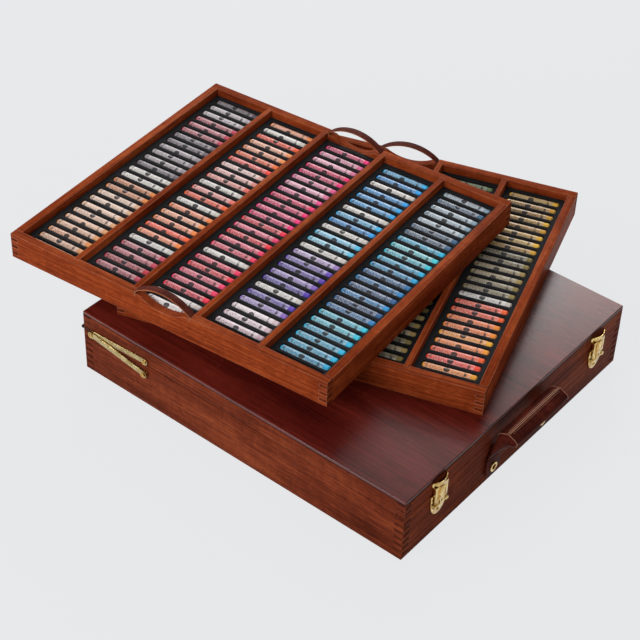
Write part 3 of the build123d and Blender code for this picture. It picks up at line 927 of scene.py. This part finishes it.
def head_middles(node):
    """Middle of each round head in a node of the stays, from its outermost flat."""
    found = []
    points = [vert.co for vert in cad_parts[node].data.vertices]
    for side in (-1, 1):
        mine = [p for p in points if p.x * side > 0]
        if mine:
            out = max(p.x * side for p in mine)
            face = [p for p in mine if p.x * side > out - 1e-5]
            found.append(sum(face, Vector()) / len(face))
    return found


def slotted(node, body, metal):
    """Pivot screws and rivets: a raised rim, a sunk middle and a slot."""
    piece = dress(cad_copy(node, f"{node}_metal"), metal)
    middles = head_middles(node)
    carved(piece, *[new_rod("cup", CUP_RADIUS, CUP_DEEP, middle, (1, 0, 0)) for middle in middles])
    carved(piece, *[new_cube("slot", middle - CUP_SLOT_HALF, middle + CUP_SLOT_HALF) for middle in middles])
    bevelled(piece, CUP_ARRIS, 2, 30)
    return settle(smooth(piece, 45), body, "brass", node)


def hasp(node, body, metal):
    """The sprung flap with a hole through the tongue's foot and a pressed groove on each side of it."""
    low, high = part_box(node)
    middle = (low.x + high.x) / 2
    face = high.y - LATCH_FLAP_OUT
    piece = dress(cad_copy(node, f"{node}_metal"), metal)
    hole = (middle, low.y + HOLE_IN, low.z + HOLE_RISE)
    carved(piece, new_rod("hole", HOLE_RADIUS, HOLE_LENGTH, hole, (0, 1, 0), 20))
    for side in (-1, 1):
        edge = middle + side * GROOVE_SPREAD
        carved(piece, new_cube("groove", (edge - GROOVE_HALF, face - GROOVE_OVER, low.z + GROOVE_FOOT),
                               (edge + GROOVE_HALF, face + GROOVE_DEEP, low.z + GROOVE_TOP)))
    bevelled(piece, FITTING_ARRIS, 2, 30)
    return settle(smooth(piece, 45), body, "brass", node)


def plate_screws(metal):
    """A small round-headed screw low on each latch plate, modelled once."""
    low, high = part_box("latch_plates")
    front = high.y - LATCH_PLATE_THICK
    screw = new_rod("screw", SCREW_RADIUS, SCREW_THICK, (0, 0, 0), (0, 1, 0))
    editing(screw)
    pick_faces(screw, lambda face: face.normal.y < -0.9)
    bpy.ops.mesh.inset(thickness=SCREW_RIM)
    bpy.ops.mesh.extrude_region_move(TRANSFORM_OT_translate={"value": (0, -SCREW_CROWN, 0)})
    bpy.ops.transform.resize(value=(0.8, 1, 0.8), center_override=(0, 0, 0))
    done()
    carved(screw, new_cube("slot", *SCREW_SLOT))
    bevelled(screw, 0.1 * MM, 1, 30)
    dress(screw, metal)
    half = LATCH_PLATE_WIDTH / 2
    turn = Matrix.Rotation(SCREW_TURN, 4, "Y")
    for side, middle in (("left", low.x + half), ("right", high.x - half)):
        place = Matrix.Translation((middle, front - SCREW_PROUD, low.z + SCREW_RISE))
        twin = copied(screw, f"latch_{side}_plate_screw", place @ turn)
        settle(smooth(twin, 45), "case_base", "brass")
    removed(screw)


def grip_core():
    """The grip's middle, its length between the pipings, and half its width."""
    low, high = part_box("handle_grip")
    centre = Vector(((low.x + high.x) / 2, (low.y + high.y) / 2, low.z + GRIP_THICK))
    return centre, high.x - low.x - 2 * PIPING, (high.y - low.y) / 2


def grip_roll(hide, thread):
    """The padded roll: crowned, drawn up to a sewn ridge, with piping at both ends."""
    centre, length, wide = grip_core()
    grip = new_rod("handle_grip_roll", GRIP_THICK, length, centre, (1, 0, 0), 40)
    editing(grip, "VERT")
    bpy.ops.mesh.select_all(action="SELECT")
    bpy.ops.transform.resize(value=(1, (wide - GRIP_SLACK) / GRIP_THICK, 1), center_override=centre)
    rings = [centre.x + length * (step / GRIP_RINGS - 0.5) for step in range(GRIP_RINGS + 1)]
    for x in rings[1:-1]:
        bpy.ops.mesh.select_all(action="SELECT")
        bpy.ops.mesh.bisect(plane_co=(x, 0, 0), plane_no=(1, 0, 0))
    for x in rings:
        part = 1 - GRIP_CROWN * abs(2 * (x - centre.x) / length) ** 5
        pick_verts(grip, lambda place, x=x: abs(place.x - x) < 1e-5)
        bpy.ops.transform.resize(value=(1, part, part), center_override=centre)
    for reach, lift in GRIP_RIDGE:
        pick_verts(grip, lambda place, reach=reach: place.z > centre.z and abs(place.y - centre.y) < reach)
        bpy.ops.transform.translate(value=(0, 0, lift))
    for sign in (-1, 1):
        bpy.ops.mesh.select_mode(type="FACE")
        pick_faces(grip, lambda face, sign=sign: face.normal.x * sign > 0.9 and len(face.verts) > 12)
        for out, wider in PIPING_BEAD:
            bpy.ops.mesh.extrude_region_move(TRANSFORM_OT_translate={"value": (sign * out * PIPING, 0, 0)})
            bpy.ops.transform.resize(value=(1, wider, wider), center_override=centre)
    done()
    dress(grip, hide, thread)
    for face in grip.data.polygons:
        bead = abs(face.center.x - centre.x) > length / 2 + 1e-6 and abs(face.normal.x) < 0.93
        face.material_index = 1 if bead else 0
    modify(grip, "SUBSURF", levels=1, render_levels=1)
    settle(smooth(grip, 60), "handle", "handle_leather", "handle_grip")
    return grip


def grip_edges(grip, thread):
    """The two cut edges of hide that stand up along the seam."""
    centre, length, _ = grip_core()
    level = max(vert.co.z for vert in grip.data.vertices) - RIDGE_SUNK
    edges = []
    for side in (-1, 1):
        place = (centre.x, centre.y + side * RIDGE_SPREAD, level)
        edge = new_rod(f"edge_{side}", RIDGE_RADIUS, length - RIDGE_SHORT, place, (1, 0, 0), 12)
        edges.append(bevelled(edge, 0.15 * MM, 2, 30))
    settle(smooth(dress(joined("handle_grip_edges", edges), thread), 60), "handle", "handle_leather")


def grip_stitches(grip, waxed):
    """A row of stitches on each side of the seam, all copies of one."""
    centre, length, _ = grip_core()
    stitch = new_rod("stitch", STITCH_RADIUS, STITCH_LENGTH, (0, 0, 0), (1, 0, 0), 8)
    bevelled(stitch, 0.2 * MM, 1, 30)
    count = int((length - STITCH_ENDS) / STITCH_PITCH)
    row = []
    for side in (-1, 1):
        offset = side * STITCH_SPREAD
        near = [v.co.z for v in grip.data.vertices
                if v.co.z > centre.z and abs(v.co.y - centre.y - offset) < 1.0 * MM
                and abs(v.co.x - centre.x) < 0.3 * length]
        level = sum(near) / len(near) + STITCH_PROUD
        for step in range(count):
            x = centre.x + (step - (count - 1) / 2) * STITCH_PITCH
            place = Matrix.Translation((x, centre.y + offset, level))
            row.append(copied(stitch, f"stitch_{side}_{step}", place))
    removed(stitch)
    settle(smooth(dress(joined("handle_grip_stitches", row), waxed), 60), "handle", "handle_leather")


def handle_leatherwork(hide):
    """Cheeks moulded out of the grip's ends, and the sewn feet on the case."""
    cheeks = cad_copy("handle_cheeks", "handle_cheeks_hide")
    modify(cheeks, "REMESH", mode="VOXEL", voxel_size=CHEEK_GRAIN)
    modify(cheeks, "SMOOTH", factor=0.5, iterations=3, use_x=False)
    settle(smooth(dress(cheeks, hide), 180), "handle", "handle_leather", "handle_cheeks")
    feet = bevelled(cad_copy("handle_tabs", "handle_tabs_hide"), FOOT_ARRIS, 3, 30)
    settle(smooth(dress(feet, hide), 50), "case_base", "handle_leather", "handle_tabs")


def fittings():
    """Brass on the latches, stays and eyelets, and the leather handle."""
    gilt = brass("brass_polished", rgb(240, 214, 146), rgb(190, 146, 70), dents=0.5)
    ribbed = brass("brass_ribbed", rgb(226, 206, 152), rgb(190, 160, 100), 0.3, ribs=0.3)
    for node, body in BRASS_NODES.items():
        if node.endswith(("screws", "rivet")):
            slotted(node, body, gilt)
        elif node.endswith("hasp"):
            hasp(node, body, gilt)
        else:
            polished(node, body, ribbed if node.endswith("arm") else gilt)
    plate_screws(gilt)
    hide = leather("handle_leather", rgb(66, 22, 16), rgb(104, 42, 30), 700.0, 0.46, coat=0.0)
    thread = plain("handle_thread", rgb(190, 138, 108), 0.6, scale=900.0)
    waxed = plain("handle_waxed_thread", rgb(150, 98, 74), 0.6, scale=900.0)
    grip = grip_roll(hide, thread)
    grip_edges(grip, thread)
    grip_stitches(grip, waxed)
    handle_leatherwork(hide)


# ================================================================ stage
FLOOR_SIZE = 12
FLOOR_GLOW = 0.93
WORLD_STRENGTH = 0.55
WORLD_BANDS = ((0.08, 0.12), (0.34, 0.16), (0.5, 1.0))  # height of the direction, level
LAMPS = (  # name, place, what it faces, width, height, power
    ("key_left", (-2.4, 0.3, 1.5), (0, 0, 0.1), 1.6, 1.6, 46),
    ("glare_back", (2.0, 1.8, 1.35), (0, 0, 0.1), 2.2, 1.0, 30),
    ("glare_side", (3.1, 1.5, 2.1), (0.2, 0, 0.1), 1.6, 1.2, 26),
)


def pale_floor():
    """A floor that keeps its shadows, and looks almost evenly pale to the camera and in reflections."""
    nothing()
    bpy.ops.mesh.primitive_plane_add(size=FLOOR_SIZE)
    floor = named("floor")
    tree = Tree("floor_pale")
    tree.colour(rgb(234, 234, 236))
    tree.finish(rough=0.9, specular=0.1)
    glow = tree.fill(tree.node("ShaderNodeEmission"), {"Color": rgb(232, 233, 235), "Strength": 1.0})
    blend = tree.node("ShaderNodeMixShader")
    path = tree.node("ShaderNodeLightPath")
    seen = tree.math("MAXIMUM", path.outputs["Is Camera Ray"], path.outputs["Is Glossy Ray"])
    seen = tree.math("MAXIMUM", seen, path.outputs["Is Transmission Ray"])
    seen = tree.math("MULTIPLY", seen, FLOOR_GLOW)
    tree.fill(blend, {0: seen, 1: tree.shader.outputs[0], 2: glow.outputs[0]})
    tree.wire(blend.outputs[0], tree.nodes["Material Output"].inputs["Surface"])
    dress(floor, tree.material)


def studio_world():
    """Dim near the horizon, bright from half-way up."""
    world = bpy.data.worlds.new("studio")
    bpy.context.scene.world = world
    world.use_nodes = True
    nodes, links = world.node_tree.nodes, world.node_tree.links
    height = nodes.new("ShaderNodeSeparateXYZ")
    links.new(nodes.new("ShaderNodeTexCoord").outputs["Generated"], height.inputs[0])
    bands = nodes.new("ShaderNodeValToRGB")
    points = bands.color_ramp.elements
    for place, level in WORLD_BANDS:
        points.new(place).color = (level, level, 0.97 * level, 1)
    points[0].color = (0.5, 0.49, 0.48, 1)
    points[-1].color = (0.75, 0.75, 0.76, 1)
    links.new(height.outputs["Z"], bands.inputs["Fac"])
    links.new(bands.outputs["Color"], nodes["Background"].inputs["Color"])
    nodes["Background"].inputs["Strength"].default_value = WORLD_STRENGTH


def lamp(name, place, target, width, height, power):
    light = bpy.data.lights.new(name, "AREA")
    light.shape = "RECTANGLE"
    light.size = width
    light.size_y = height
    light.energy = power
    made = bpy.data.objects.new(name, light)
    bpy.context.scene.collection.objects.link(made)
    aim = (Vector(target) - Vector(place)).to_track_quat("-Z", "Y")
    made.matrix_world = Matrix.Translation(place) @ aim.to_matrix().to_4x4()


def fitted_camera():
    """The photograph's view, from azimuth, elevation and roll."""
    view = bpy.data.cameras.new("view")
    view.lens = CAMERA_LENS
    view.sensor_width = CAMERA_SENSOR
    view.clip_end = 50
    camera = bpy.data.objects.new("view", view)
    bpy.context.scene.collection.objects.link(camera)
    a, e, roll = CAMERA_AZIMUTH, CAMERA_ELEVATION, CAMERA_ROLL
    back = Vector((math.sin(a) * math.cos(e), -math.cos(a) * math.cos(e), math.sin(e)))
    right = Vector((0, 0, 1)).cross(back).normalized()
    up = back.cross(right)
    x = math.cos(roll) * right + math.sin(roll) * up
    y = -math.sin(roll) * right + math.cos(roll) * up
    turn = Matrix((x, y, back)).transposed().to_4x4()
    camera.matrix_world = Matrix.Translation(CAMERA_PLACE) @ turn
    bpy.context.scene.camera = camera


def stage():
    """Pale floor, pale world, three soft lamps and the camera."""
    pale_floor()
    studio_world()
    for each in LAMPS:
        lamp(*each)
    fitted_camera()
    bpy.context.scene.view_settings.view_transform = "Standard"


nothing()
case_boards()
hinge()
all_trays()
tray_straps()
all_pastels()
fittings()
stage()
